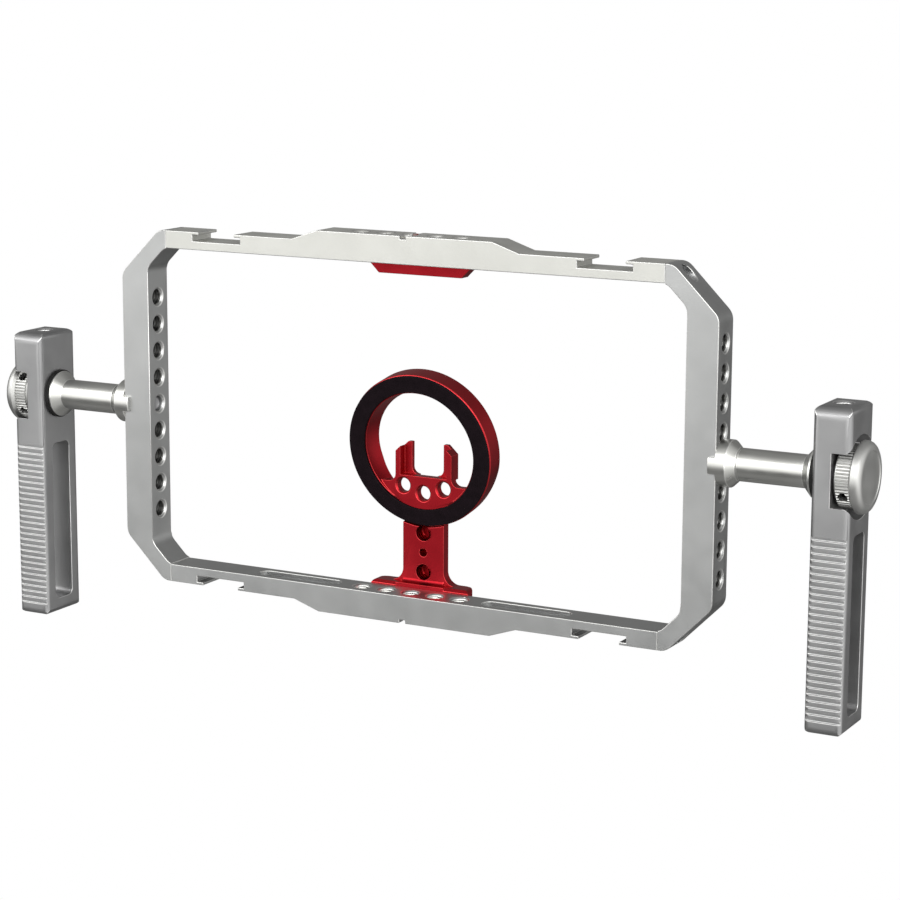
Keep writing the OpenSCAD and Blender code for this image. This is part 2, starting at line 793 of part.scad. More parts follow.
// Side view of a handle in Y and Z, with ribs on its front and back
module handle_side() {
    rib_count = floor((handle_drop - rib_top - rib_floor) / rib_pitch);
    difference() {
        round_panel(handle_d, -handle_drop, handle_rise, foot_r, top_r);
        for (side = [0, 1])
            mirror([side, 0])
                for (step = [0 : rib_count - 1])
                    translate([handle_d / 2 - rib_t, -rib_top - rib_gap - step * rib_pitch])
                        square([rib_t + over, rib_gap]);
    }
}

// Right handle: the three views cut out of one block, then slot, recess, bore and top hole
module handle() {
    difference() {
        intersection() {
            translate([handle_mid_x, 0, -handle_drop - over])
                linear_extrude(handle_drop + handle_rise + 2 * over)
                    round_panel(handle_w, -handle_d / 2, handle_d / 2, edge_r, edge_r);
            translate([handle_mid_x, 0, 0]) slab(-handle_d / 2 - over, handle_d / 2 + over)
                round_panel(handle_w, -handle_drop, handle_rise, foot_r, top_side_r);
            translate([handle_x0 - over, 0, 0]) rotate([90, 0, 90]) linear_extrude(handle_w + 2 * over)
                handle_side();
        }
        translate([handle_x0 - over, 0, 0]) rotate([90, 0, 90]) linear_extrude(handle_w + 2 * over)
            round_panel(slot_w, slot_floor - handle_drop, -slot_top, slot_r, slot_r);
        translate([recess_x, 0, 0]) along_x() cylinder(r = recess_r, h = recess_t + over);
        translate([handle_x0 - over, 0, 0]) along_x() cylinder(r = bolt_bore_r, h = handle_w);
        translate([handle_mid_x, 0, handle_rise - top_hole_t])
            cylinder(r = thread_r, h = top_hole_t + over);
        translate([handle_mid_x, 0, handle_rise - mouth_r + thread_r])
            cylinder(r1 = thread_r, r2 = mouth_r + over, h = mouth_r - thread_r + over);
    }
}

module knob_washer() {
    turned_x([
        [bolt_bore_r, recess_x], [knob_washer_r, recess_x], [knob_washer_r, knob_x0], [bolt_bore_r, knob_x0]
    ]);
}

// Barrel outline with one groove in each step of the knurl
module knurl_outline() {
    step = 360 / knurl_count;
    dip = (1 + knurl_land) / 2;
    polygon([
        for (i = [0 : knurl_count - 1])
            for (share = [0, knurl_land, dip])
                let (r = share == dip ? barrel_r - knurl_t : barrel_r)
                    [r * cos((i + share) * step), r * sin((i + share) * step)]
    ]);
}

// Places a set screw hole or screw on the barrel: its Z axis points outwards
module at_set_screws(turn) {
    for (angle = [turn, turn - set_spread])
        translate([set_x, 0, 0]) rotate([90 - angle, 0, 0]) children();
}

// Knob with its plain inner end, knurled barrel, flared neck and round shouldered cap
module knob(turn) {
    shoulder = [
        for (angle = [0 : 18 : 90])
            [cap_face_r + (cap_r - cap_face_r) * cos(angle), cap_x + cap_rim + cap_round * sin(angle)]
    ];
    dish_r = cap_face_r - dish_rim;
    neck_r = barrel_r + neck_step;
    lead_r = barrel_r - knurl_t - lead_step;
    lead_x = knob_x0 + lead_len;
    difference() {
        union() {
            turned_x([
                [0, knob_x0], [lead_r - lead_edge, knob_x0], [lead_r, knob_x0 + lead_edge],
                [lead_r, lead_x + over], [0, lead_x + over]
            ]);
            translate([lead_x, 0, 0]) along_x() linear_extrude(flare_x - lead_x + over) knurl_outline();
            turned_x(concat(
                [[0, flare_x], [neck_r, flare_x], [cap_r, cap_x]],
                shoulder,
                [[dish_r, cap_face_x], [dish_r - dish_t, cap_face_x - dish_t], [0, cap_face_x - dish_t]]
            ));
        }
        translate([knob_x0 - over, 0, 0]) along_x() cylinder(r = bolt_r + fit_gap, h = bolt_seat + over);
        at_set_screws(turn) cylinder(r = set_r + fit_gap, h = cap_r);
    }
}

// Clamp bolt: shank from the knob through handle and post, then its threaded end in the upright
module clamp_bolt() {
    turned_x([
        [0, bolt_tip_x], [bolt_tip_r - bolt_point, bolt_tip_x], [bolt_tip_r, bolt_tip_x + bolt_point],
        [bolt_tip_r, bolt_step_x],
        [bolt_r, bolt_step_x], [bolt_r, bolt_head_x], [0, bolt_head_x]
    ]);
}

module set_screws(turn) {
    at_set_screws(turn) difference() {
        translate([0, 0, bolt_r + fit_gap]) cylinder(r = set_r, h = barrel_r - set_sink - bolt_r - fit_gap);
        translate([0, 0, barrel_r - set_sink - set_socket_t])
            cylinder(r = set_socket_r, h = set_socket_t + over, $fn = 6);
    }
}

// Moves a right hand piece to the left side
module on_left() {
    at_axis() mirror([1, 0, 0]) children();
}

module left_collar() {
    color(satin) on_left() collar();
}

module left_post() {
    color(satin) on_left() post();
}

module left_grip_washer() {
    color(black) on_left() grip_washer();
}

module left_handle() {
    color(metal) on_left() handle();
}

module left_knob_washer() {
    color(steel) on_left() knob_washer();
}

module left_knob() {
    color(satin) on_left() knob(left_turn);
}

module left_clamp_bolt() {
    color(steel) on_left() clamp_bolt();
}

module left_set_screws() {
    color(black) on_left() set_screws(left_turn);
}

module right_collar() {
    color(satin) at_axis() collar();
}

module right_post() {
    color(satin) at_axis() post();
}

module right_grip_washer() {
    color(black) at_axis() grip_washer();
}

module right_handle() {
    color(metal) at_axis() handle();
}

module right_knob_washer() {
    color(steel) at_axis() knob_washer();
}

module right_knob() {
    color(satin) at_axis() knob(right_turn);
}

module right_clamp_bolt() {
    color(steel) at_axis() clamp_bolt();
}

module right_set_screws() {
    color(black) at_axis() set_screws(right_turn);
}

left_upright();
right_upright();
top_bar();
bottom_bar();
corner_screws();
ring_bracket();
ring_pad();
ring_magnets();
magnet_yoke();
top_block();
rear_screws();
left_collar();
left_post();
left_grip_washer();
left_handle();
left_knob_washer();
left_knob();
left_clamp_bolt();
left_set_screws();
right_collar();
right_post();
right_grip_washer();
right_handle();
right_knob_washer();
right_knob();
right_clamp_bolt();
right_set_screws();
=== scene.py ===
# %% [markdown]
# # A cage with two swivelling handles
# The real object is a rectangle of four machined aluminium pieces. A red bracket behind the bottom bar
# carries a ring of magnets under a black pad, and on each side a ribbed handle turns about a post until a
# knob clamps it. All of this could be modelled again in Blender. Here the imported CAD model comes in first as
# a fixed frame, and every piece is built from it in metres, so that the render keeps the CAD model's sizes.

# %% Load the CAD frame
import json
import math

import bmesh
import bpy
from mathutils import Matrix, Vector

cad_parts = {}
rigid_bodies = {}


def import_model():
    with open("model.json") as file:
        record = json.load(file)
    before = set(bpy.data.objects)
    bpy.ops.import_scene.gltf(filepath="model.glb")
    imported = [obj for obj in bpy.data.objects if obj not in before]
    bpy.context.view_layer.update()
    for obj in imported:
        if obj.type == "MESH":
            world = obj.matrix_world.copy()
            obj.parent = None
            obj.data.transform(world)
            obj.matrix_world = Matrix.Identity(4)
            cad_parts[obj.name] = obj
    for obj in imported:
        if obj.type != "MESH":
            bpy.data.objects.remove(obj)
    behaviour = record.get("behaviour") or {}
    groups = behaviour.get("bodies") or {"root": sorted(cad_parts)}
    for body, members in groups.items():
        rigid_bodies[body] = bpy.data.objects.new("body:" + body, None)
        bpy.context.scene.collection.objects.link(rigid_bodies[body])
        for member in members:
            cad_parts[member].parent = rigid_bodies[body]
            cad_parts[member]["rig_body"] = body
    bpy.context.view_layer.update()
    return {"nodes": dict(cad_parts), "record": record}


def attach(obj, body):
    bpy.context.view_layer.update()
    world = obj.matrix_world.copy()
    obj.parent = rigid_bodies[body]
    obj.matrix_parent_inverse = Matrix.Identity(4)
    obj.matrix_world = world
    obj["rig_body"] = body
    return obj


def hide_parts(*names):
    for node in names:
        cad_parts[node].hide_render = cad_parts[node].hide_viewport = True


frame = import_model()
cad = frame["nodes"]
MM = 0.001

# %% [markdown]
# ## Surfaces from nodes
# Blasting, turning and moulding each leave a fine grain on a piece. An image could be wrapped round the
# shapes to show it, but that needs every face laid out flat, and seams are hard to hide. A small tree of
# shader nodes only needs the place in space: noise over the object's own coordinates has no seams, its
# scale in grains per metre holds for every piece, and it is the same on each run.

# %% A material and its noise
def node_tree(name):
    """A new material with its nodes, links and main shader."""
    material = bpy.data.materials.new(name)
    material.use_nodes = True
    tree = material.node_tree
    return material, tree.nodes, tree.links, tree.nodes["Principled BSDF"]


def noise(nodes, links, scale, detail=2.0, stretch=(1, 1, 1)):
    """Noise over the object's own coordinates; scale is in grains per metre."""
    coordinates = nodes.new("ShaderNodeTexCoord")
    mapping = nodes.new("ShaderNodeMapping")
    mapping.inputs["Scale"].default_value = stretch
    texture = nodes.new("ShaderNodeTexNoise")
    texture.inputs["Scale"].default_value = scale
    texture.inputs["Detail"].default_value = detail
    links.new(coordinates.outputs["Object"], mapping.inputs["Vector"])
    links.new(mapping.outputs["Vector"], texture.inputs["Vector"])
    return texture.outputs["Fac"]


# %% Colour, roughness and relief from noise
# Noise seldom leaves this range, so its ends stand for the darkest and the lightest grain.
NOISE_LOW = 0.3
NOISE_HIGH = 0.7


def spread(nodes, links, value, low, high):
    """Maps the middle of a noise value to the range from low to high."""
    mapped = nodes.new("ShaderNodeMapRange")
    mapped.inputs["From Min"].default_value = NOISE_LOW
    mapped.inputs["From Max"].default_value = NOISE_HIGH
    mapped.inputs["To Min"].default_value = low
    mapped.inputs["To Max"].default_value = high
    links.new(value, mapped.inputs["Value"])
    return mapped.outputs["Result"]


def tint(nodes, links, value, dark, light):
    """A colour between dark and light, chosen by a noise value."""
    ramp = nodes.new("ShaderNodeValToRGB")
    ramp.color_ramp.elements[0].position = NOISE_LOW
    ramp.color_ramp.elements[0].color = (*dark, 1)
    ramp.color_ramp.elements[1].position = NOISE_HIGH
    ramp.color_ramp.elements[1].color = (*light, 1)
    links.new(value, ramp.inputs["Fac"])
    return ramp.outputs["Color"]


def relief(nodes, links, shader, value, depth):
    """Bump of the given depth, in metres, from a noise value."""
    bump = nodes.new("ShaderNodeBump")
    bump.inputs["Distance"].default_value = depth
    links.new(value, bump.inputs["Height"])
    links.new(bump.outputs["Normal"], shader.inputs["Normal"])


# %% [markdown]
# ## Aluminium of the frame
# The bars and uprights look bead blasted: matte, with a fine grain. One even grey would look like plastic, so
# in
# `metal` the colour and the roughness drift a little from one centimetre to the next, and the grain is a
# shallow bump. The uprights and the bottom bar are the same metal as the top bar, in a darker copy that is
# painted shade for the dimmer light on them. The cut edges have a smoother finish in a lighter colour, a
# painted highlight, and the threads in the side holes are near black, painted shade deep in the holes; each
# has a tone of its own.

# %% Make the frame's aluminium
CLOUDS = 60
PATCHES = 140
FINE_DETAIL = 3.0
BLAST_GRAIN = 5200
BLAST_DEPTH = 0.02 * MM
EDGE_DEPTH = 0.01 * MM
CUT_DEPTH = 0.005 * MM


def metal(name, dark, light, rough, grain, depth, stretch=(1, 1, 1)):
    """A metal with clouded colour, uneven roughness and a fine grain."""
    material, nodes, links, shader = node_tree(name)
    shader.inputs["Metallic"].default_value = 1.0
    clouds = noise(nodes, links, CLOUDS)
    links.new(tint(nodes, links, clouds, dark, light), shader.inputs["Base Color"])
    patches = noise(nodes, links, PATCHES)
    links.new(spread(nodes, links, patches, *rough), shader.inputs["Roughness"])
    relief(nodes, links, shader, noise(nodes, links, grain, FINE_DETAIL, stretch), depth)
    return material


blasted = metal(
    "blasted_aluminium",
    dark=(0.60, 0.60, 0.57),
    light=(0.66, 0.66, 0.63),
    rough=(0.40, 0.47),
    grain=BLAST_GRAIN,
    depth=BLAST_DEPTH,
)
# A darker copy of the top bar's aluminium: painted shade for the uprights and the bottom bar.
frame_painted_shade = metal(
    "aluminium_in_painted_shade",
    dark=(0.435, 0.44, 0.44),
    light=(0.495, 0.50, 0.50),
    rough=(0.32, 0.38),
    grain=BLAST_GRAIN,
    depth=BLAST_DEPTH,
)
# Smoother and lighter than the faces: the smoothness is the cut, the lighter colour a painted highlight along
# the edges.
frame_edge_highlight = metal(
    "frame_edge_highlight",
    dark=(0.62, 0.62, 0.61),
    light=(0.68, 0.68, 0.67),
    rough=(0.34, 0.42),
    grain=BLAST_GRAIN,
    depth=EDGE_DEPTH,
)
# Near black aluminium for the threads in the side holes: painted shade deep inside the holes.
side_thread_painted_shade = metal(
    "aluminium_thread_painted_shade",
    dark=(0.16, 0.16, 0.155),
    light=(0.21, 0.21, 0.205),
    rough=(0.30, 0.38),
    grain=BLAST_GRAIN,
    depth=CUT_DEPTH,
)
print("frame:", [m.name for m in (blasted, frame_painted_shade, frame_edge_highlight, side_thread_painted_shade)])

# %% [markdown]
# ## Aluminium of the handles and knobs
# The handles and the knobs have the same blasted look in darker tones. The light lines along the handles' ribs
# are
# a painted highlight: a much lighter finish on their bevelled edges. The frame's material could be reused with
# a colour for each object, but a material for each finish keeps its whole look in one place.

# %% Make the aluminium of the handles and knobs
grip_metal = metal(
    "handle_aluminium",
    dark=(0.295, 0.295, 0.30),
    light=(0.355, 0.355, 0.36),
    rough=(0.41, 0.47),
    grain=BLAST_GRAIN,
    depth=BLAST_DEPTH,
)
# About twice as light as the handle: a painted highlight on the bevelled edges of the ribs.
rib_highlight_metal = metal(
    "handle_painted_highlight",
    dark=(0.60, 0.60, 0.60),
    light=(0.66, 0.66, 0.66),
    rough=(0.32, 0.40),
    grain=BLAST_GRAIN,
    depth=EDGE_DEPTH,
)
knob_metal = metal(
    "knob_aluminium",
    dark=(0.46, 0.46, 0.45),
    light=(0.52, 0.52, 0.51),
    rough=(0.40, 0.48),
    grain=BLAST_GRAIN,
    depth=EDGE_DEPTH,
)
print("handles:", [m.name for m in (grip_metal, rib_highlight_metal, knob_metal)])

# %% [markdown]
# ## Turned aluminium
# The posts and collars are round pieces on the X axis, and a lathe leaves faint rings round that axis. Real
# grooves would need a great many faces for a mark this shallow. Noise that is squeezed along X and drawn out
# across it gives the same broken highlight as a bump.

# %% Make the turned aluminium
RING_GRAIN = 900
RINGS_ROUND_X = (6, 0.2, 0.2)
turned = metal(
    "turned_aluminium",
    dark=(0.52, 0.52, 0.50),
    light=(0.59, 0.59, 0.57),
    rough=(0.27, 0.35),
    grain=RING_GRAIN,
    depth=EDGE_DEPTH,
    stretch=RINGS_ROUND_X,
)
# A much lighter finish for the bevelled edges of the posts and collars: a painted highlight.
turned_edge_highlight = metal(
    "turned_edge_highlight",
    dark=(0.80, 0.80, 0.78),
    light=(0.86, 0.86, 0.84),
    rough=(0.28, 0.36),
    grain=BLAST_GRAIN,
    depth=CUT_DEPTH,
)
print("posts and collars:", [m.name for m in (turned, turned_edge_highlight)])

# %% [markdown]
# ## Red anodised aluminium
# The bracket and the block at the top look anodised, dyed red in a thin layer of oxide over the metal. A red
# paint with a gloss on top would reflect white. A metal with a red base colour reflects everything in red,
# as the dyed layer does, so the finish is another `metal`.

# %% Make the red finishes
red_metal = metal(
    "red_anodised",
    dark=(0.30, 0.010, 0.016),
    light=(0.37, 0.015, 0.022),
    rough=(0.34, 0.42),
    grain=BLAST_GRAIN,
    depth=EDGE_DEPTH,
)
# A lighter red for the bevelled edges of the bracket and block: a painted highlight.
red_highlight_metal = metal(
    "bracket_painted_highlight",
    dark=(0.46, 0.03, 0.035),
    light=(0.54, 0.045, 0.05),
    rough=(0.28, 0.34),
    grain=BLAST_GRAIN,
    depth=CUT_DEPTH,
)
# Near black red for the threads in the stem: painted shade inside the holes.
stem_thread_painted_shade = metal(
    "red_thread_painted_shade",
    dark=(0.11, 0.003, 0.005),
    light=(0.15, 0.005, 0.007),
    rough=(0.30, 0.38),
    grain=BLAST_GRAIN,
    depth=CUT_DEPTH,
)
print("bracket:", [m.name for m in (red_metal, red_highlight_metal, stem_thread_painted_shade)])

# %% [markdown]
# ## Steel and plating
# Screws and bolts are plain steel, the set screws are blackened, and the magnets have a bright plating.
# They are small or hidden, so the same helper serves with a coarser grain.

# %% Make the steel and the plating
TOOL_GRAIN = 3000
steel = metal(
    "screw_steel",
    dark=(0.36, 0.36, 0.37),
    light=(0.44, 0.44, 0.45),
    rough=(0.30, 0.40),
    grain=TOOL_GRAIN,
    depth=EDGE_DEPTH,
)
black_steel = metal(
    "black_oxide",
    dark=(0.02, 0.02, 0.02),
    light=(0.04, 0.04, 0.04),
    rough=(0.40, 0.55),
    grain=TOOL_GRAIN,
    depth=EDGE_DEPTH,
)
nickel = metal(
    "magnet_plating",
    dark=(0.62, 0.61, 0.58),
    light=(0.68, 0.67, 0.64),
    rough=(0.18, 0.24),
    grain=TOOL_GRAIN,
    depth=CUT_DEPTH,
)
print("small metal pieces:", [m.name for m in (steel, black_steel, nickel)])

# %% [markdown]
# ## Black rubber
# The pad on the ring and the washers beside the handles look like black rubber. Plain black would lose their
# shape, so the colour is only very dark and clouded. The shader's usual reflection is too strong for a
# matte surface as dark as this one, and it is turned down.

# %% Make the rubber
RUBBER_CLOUDS = 400
RUBBER_PATCHES = 900
RUBBER_GRAIN = 2600
RUBBER_DEPTH = 0.03 * MM
RUBBER_SHINE = 0.08


def rubber(name, dark, light, rough):
    """A matte black rubber with a soft moulded grain."""
    material, nodes, links, shader = node_tree(name)
    clouds = noise(nodes, links, RUBBER_CLOUDS)
    links.new(tint(nodes, links, clouds, dark, light), shader.inputs["Base Color"])
    patches = noise(nodes, links, RUBBER_PATCHES)
    links.new(spread(nodes, links, patches, *rough), shader.inputs["Roughness"])
    shader.inputs["Specular IOR Level"].default_value = RUBBER_SHINE
    relief(nodes, links, shader, noise(nodes, links, RUBBER_GRAIN, FINE_DETAIL), RUBBER_DEPTH)
    return material


pad_rubber = rubber(
    "black_pad",
    dark=(0.0035, 0.0014, 0.0025),
    light=(0.006, 0.0028, 0.0045),
    rough=(0.62, 0.74),
)
washer_rubber = rubber(
    "washer_rubber",
    dark=(0.012, 0.012, 0.012),
    light=(0.020, 0.020, 0.020),
    rough=(0.55, 0.68),
)
print("rubber:", [m.name for m in (pad_rubber, washer_rubber)])

# %% [markdown]
# ## Bends in the uprights
# Each upright turns by 45 degrees at a time where the corners of the rectangle are cut off, and on the real
# piece these bends are a little round. Blender's bevel can round an edge, but a bevel this wide breaks the
# faces with the holes beside it. So a fan of planes cuts the faces near each bend, and the new corners are
# moved onto an arc. First the bends have to be found: they are long edges along Y.

# %% Find the bends
BEND = math.radians(45)
BEND_SLACK = math.radians(5)
SHORTEST_BEND = 10 * MM
NEARLY_ALL = 0.99


def bends_of(made):
    """The edges along Y where two faces meet at 45 degrees: middle and the two directions out of the arc."""
    found = []
    for edge in made.edges:
        run = edge.verts[1].co - edge.verts[0].co
        along_y = abs(run.y) > NEARLY_ALL * run.length and run.length > SHORTEST_BEND
        if along_y and abs(edge.calc_face_angle(0) - BEND) < BEND_SLACK:
            sign = 1 if edge.is_convex else -1
            sides = [face.normal * sign for face in edge.link_faces]
            found.append((edge.verts[0].co + run / 2, *sides))
    return found


# %% Round the bends
FAN = 6
NEAR_BEND = 15 * MM
ON_PLANE = 1e-7
REACH_SLACK = 1.01
FAN_SLACK = math.radians(0.1)


def parts_near(made, place):
    """The faces with a corner near a place, and their edges and corners, each once in a fixed order."""
    near = [f for f in made.faces if any((v.co - place).length < NEAR_BEND for v in f.verts)]
    return list(dict.fromkeys(part for f in near for part in (f, *f.edges, *f.verts)))


def round_bends(made, radius):
    """Cuts a fan of planes through each bend and moves the corners between them onto an arc."""
    across = Vector((0, 1, 0))
    reach = radius / math.cos(BEND / 2)
    in_fan = math.cos(BEND / 2 + FAN_SLACK)
    bends = bends_of(made)
    for middle, first, second in bends:
        outward = (first + second).normalized()
        centre = middle - outward * reach
        for i in range(FAN + 1):
            cut = first.slerp(second, i / FAN).cross(across)
            parts = parts_near(made, middle)
            bmesh.ops.bisect_plane(made, geom=parts, plane_co=centre, plane_no=cut, dist=ON_PLANE)
        for corner in made.verts:
            out = corner.co - centre
            out.y = 0
            off_arc = radius < out.length < REACH_SLACK * reach
            if off_arc and out.normalized().dot(outward) > in_fan:
                corner.co += out.normalized() * (radius - out.length)
    print(len(bends), "bends rounded")


# %% [markdown]
# ## Whole faces
# A CAD node arrives as triangles. A bevel needs to know which edges are real, and the lines between the
# triangles of one flat face are not. They could be left to the angle limit of the modifier, but the bevel
# would still stumble over their ends. So each dressed piece starts as a copy with whole flat faces.

# %% Copy a node with whole faces
WELD = 0.002 * MM
FLAT = math.radians(1)


def clean_copy(node, bend_radius):
    """The node's shape as a bmesh with whole flat faces instead of triangles."""
    source = cad[node].data
    made = bmesh.new()
    corners = [made.verts.new(v.co) for v in source.vertices]
    for polygon in source.polygons:
        made.faces.new([corners[i] for i in polygon.vertices])
    bmesh.ops.remove_doubles(made, verts=made.verts, dist=WELD)
    if bend_radius:
        made.normal_update()
        round_bends(made, bend_radius)
    bmesh.ops.dissolve_limit(made, angle_limit=FLAT, verts=made.verts, edges=made.edges)
    return made


# %% [markdown]
# ## Edges that catch the light
# A machined edge is never quite sharp: a narrow strip along it catches the light as a bright line. The strip
# could be cut into the mesh by hand. A bevel modifier does it for every sharp edge at once, its width can
# be changed later, and it can give the strip a material of its own. The dressed piece then stands for its
# CAD node, on the same body.

# %% Dress a node
SHARP = math.radians(35)
STRIP_STEPS = 2
STRIP_SLOT = 1


def body_of(node):
    """The CAD body that a node belongs to."""
    return cad[node]["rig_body"]


# The strip's finish is lighter than the face's for most pieces: a painted highlight on top of the light the
# bevel catches.
def dress(node, face, edge, width, bend_radius=0):
    """A piece that stands for a CAD node: its shape with bevelled edges in a second finish, mostly lighter as
    a painted highlight.
    """
    mesh = bpy.data.meshes.new(node + "_dressed")
    made = clean_copy(node, bend_radius)
    made.to_mesh(mesh)
    made.free()
    mesh.materials.append(face)
    mesh.materials.append(edge)
    mesh.shade_smooth()
    piece = bpy.data.objects.new(node + "_dressed", mesh)
    bpy.context.scene.collection.objects.link(piece)
    bevel = piece.modifiers.new("cut edges", "BEVEL")
    bevel.width = width
    bevel.segments = STRIP_STEPS
    bevel.limit_method = "ANGLE"
    bevel.angle_limit = SHARP
    bevel.material = STRIP_SLOT
    bevel.harden_normals = True
    bevel.use_clamp_overlap = False
    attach(piece, body_of(node))
    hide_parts(node)
    print(piece.name, len(mesh.polygons), "faces")
    return piece


# %% [markdown]
# ## The frame
# Two bars and two uprights are screwed together into the rectangle. One mesh could show all four, but the
# seams between them are seen on the real cage, and a bevel on each piece draws these seams by itself. Only
# the uprights have bends to round.

# %% Dress the frame
SIDES = ("left", "right")
FRAME_EDGE = 0.25 * MM
BEND_R = 5 * MM
dress("top_bar", blasted, frame_edge_highlight, FRAME_EDGE)
# The bottom bar and the uprights take the darker copy, which paints their shade.
dress("bottom_bar", frame_painted_shade, frame_edge_highlight, FRAME_EDGE)
for side in SIDES:
    dress(side + "_upright", frame_painted_shade, frame_edge_highlight, FRAME_EDGE, bend_radius=BEND_R)

# %% [markdown]
# ## The handles
# A collar and a post carry each ribbed handle, and a knurled knob clamps it. Ribs and knurl could be bump in
# a material, but they show in the outline, so the CAD model has them as real shapes and the dressing only
# softens their edges. The knurl is fine, so its edges are cut least.

# %% Dress the handles
HANDLE_EDGE = 0.18 * MM
COLLAR_EDGE = 0.2 * MM
POST_EDGE = 0.15 * MM
KNOB_EDGE = 0.06 * MM
for side in SIDES:
    dress(side + "_handle", grip_metal, rib_highlight_metal, HANDLE_EDGE)
    dress(side + "_collar", turned, turned_edge_highlight, COLLAR_EDGE)
    dress(side + "_post", turned, turned_edge_highlight, POST_EDGE)
    dress(side + "_knob", knob_metal, knob_metal, KNOB_EDGE)

# %% [markdown]
# ## The red bracket
# The bracket stands behind the bottom bar and holds the ring, and a small red block is fixed at the top bar.
# Both are milled pieces with many short edges. A sculpted copy could round them freely, but milled edges are
# crisp and even, so the same narrow bevel suits them.

# %% Dress the bracket and the block
RED_EDGE = 0.15 * MM
dress("ring_bracket", red_metal, red_highlight_metal, RED_EDGE)
dress("top_block", red_metal, red_highlight_metal, RED_EDGE)

# %% [markdown]
# ## Threads in the holes
# A tap cuts a spiral groove into each drilled hole, for screws with twenty turns to the inch. A bump could
# hint at it, but the picture looks into some of the holes, so the ridges between the turns are real. The
# CAD hole is a plain cylinder, and the ridge is a thin band wound along it: its foot lies just inside the
# metal and its crest stands out into the hole.

# %% Wind a ridge along a hole
PITCH = 1.27 * MM
ROOT_R = 2.6 * MM
CREST_R = 2.38 * MM
STEPS = 24
# Radius and place along the hole, in parts of the pitch, of the four corners of the ridge
RIDGE = ((ROOT_R, -0.42), (CREST_R, -0.07), (CREST_R, 0.07), (ROOT_R, 0.42))


def add_thread(made, middle, axis, length):
    """Adds a helical ridge along a hole, given by its middle, direction and length."""
    along = Vector(axis)
    side = along.orthogonal().normalized()
    other = along.cross(side)
    rows = []
    for i in range(int(length / PITCH * STEPS) + 1):
        angle = math.tau * i / STEPS
        out = side * math.cos(angle) + other * math.sin(angle)
        foot = middle + along * (i * PITCH / STEPS - length / 2)
        rows.append([made.verts.new(foot + out * r + along * (rise * PITCH)) for r, rise in RIDGE])
    for low, high in zip(rows, rows[1:]):
        for j in range(len(RIDGE) - 1):
            made.faces.new((low[j], high[j], high[j + 1], low[j + 1]))


# %% [markdown]
# ## Where the holes are
# The bars, the uprights, the stem of the bracket and the tops of the handles all have such holes. Their
# places could be typed in again, but the record that comes with the frame has each hole's middle, its
# direction and the distance within a pair, so the threads follow the CAD model if it changes. Holes of one
# body and finish become one piece.

# %% Make the threads
BAR_THREAD = 6.6 * MM
UPRIGHT_THREAD = 9.2 * MM
STEM_THREAD = 4.4 * MM
HANDLE_THREAD = 5.6 * MM
BAR_HOLES = ("tripod_thread", "top_thread", "bottom_row", "top_row")
UPRIGHT_HOLES = ("left_side_row", "right_side_row")
STEM_HOLES = ("stem_holes",)


def holes_of(mount):
    """The middles of a mount's holes; a pair lies along X in a bar and along Z elsewhere."""
    middle = Vector(mount["pos_m"])
    if mount["kind"] == "threaded_hole":
        return [middle]
    dims = mount["dims"]
    apart = Vector((dims.get("spacing_x_mm", 0), 0, dims.get("spacing_y_mm", 0))) * (MM / 2)
    return [middle - apart, middle + apart]


def add_threads(name, body, finish, length, starts):
    """One piece with the threads of all mounts whose names begin with one of the given starts."""
    made = bmesh.new()
    found = [m for m in frame["record"]["mounts"] if m["name"].startswith(starts)]
    middles = [(p, m["axis"]) for m in found for p in holes_of(m)]
    for middle, axis in middles:
        add_thread(made, middle, axis, length)
    mesh = bpy.data.meshes.new(name)
    made.to_mesh(mesh)
    made.free()
    mesh.materials.append(finish)
    mesh.shade_smooth()
    piece = bpy.data.objects.new(name, mesh)
    bpy.context.scene.collection.objects.link(piece)
    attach(piece, body)
    print(name, len(middles), "holes")


add_threads("bar_threads", "cage", blasted, BAR_THREAD, BAR_HOLES)
# The threads of the side holes are painted dark, as shade inside the holes.
add_threads("upright_threads", "cage", side_thread_painted_shade, UPRIGHT_THREAD, UPRIGHT_HOLES)
# The stem's threads are painted dark red, as shade inside the holes.
add_threads("stem_threads", "cage", stem_thread_painted_shade, STEM_THREAD, STEM_HOLES)
for side in SIDES:
    name = side + "_handle_thread"
    add_threads(name, side + "_handle_body", grip_metal, HANDLE_THREAD, (name,))

# %% [markdown]
# ## The small pieces
# Screws, bolts, washers, magnets and the pad are left. They could be dressed like the large pieces, but they
# are small or half hidden and a cut edge would hardly show, so they keep their CAD shape and only get
# their finish.

# %% Finish the small pieces
small = {
    "corner_screws": steel,
    "rear_screws": steel,
    "ring_pad": pad_rubber,
    "ring_magnets": nickel,
    "magnet_yoke": steel,
}
for side in SIDES:
    small[side + "_grip_washer"] = washer_rubber
    small[side + "_knob_washer"] = steel
    small[side + "_clamp_bolt"] = steel
    small[side + "_set_screws"] = black_steel
for node, finish in small.items():
    cad[node].data.materials.clear()
    cad[node].data.materials.append(finish)
print(len(small), "small pieces finished")

# %% [markdown]
# ## A pale sweep
# Product pictures are often taken on a sweep, a sheet that runs from the floor up behind the object so that
# no edge shows. A curved sheet would do for one view. A wide disc with a tall ring round it does for a view
# from any side, and both glow evenly, so the line where they meet can't be seen. Only the camera sees them:
# metal shows whatever stands round it, and white in every reflection would wash the shape out.

# %% Floor and backdrop
SWEEP_R = 9
SWEEP_H = 16
SWEEP_SIDES = 96
scene = bpy.context.scene
pale, nodes, links, shader = node_tree("pale_floor")
shader.inputs["Base Color"].default_value = (0, 0, 0, 1)
shader.inputs["Specular IOR Level"].default_value = 0
shader.inputs["Emission Color"].default_value = (1, 1, 1, 1)
shader.inputs["Emission Strength"].default_value = 1


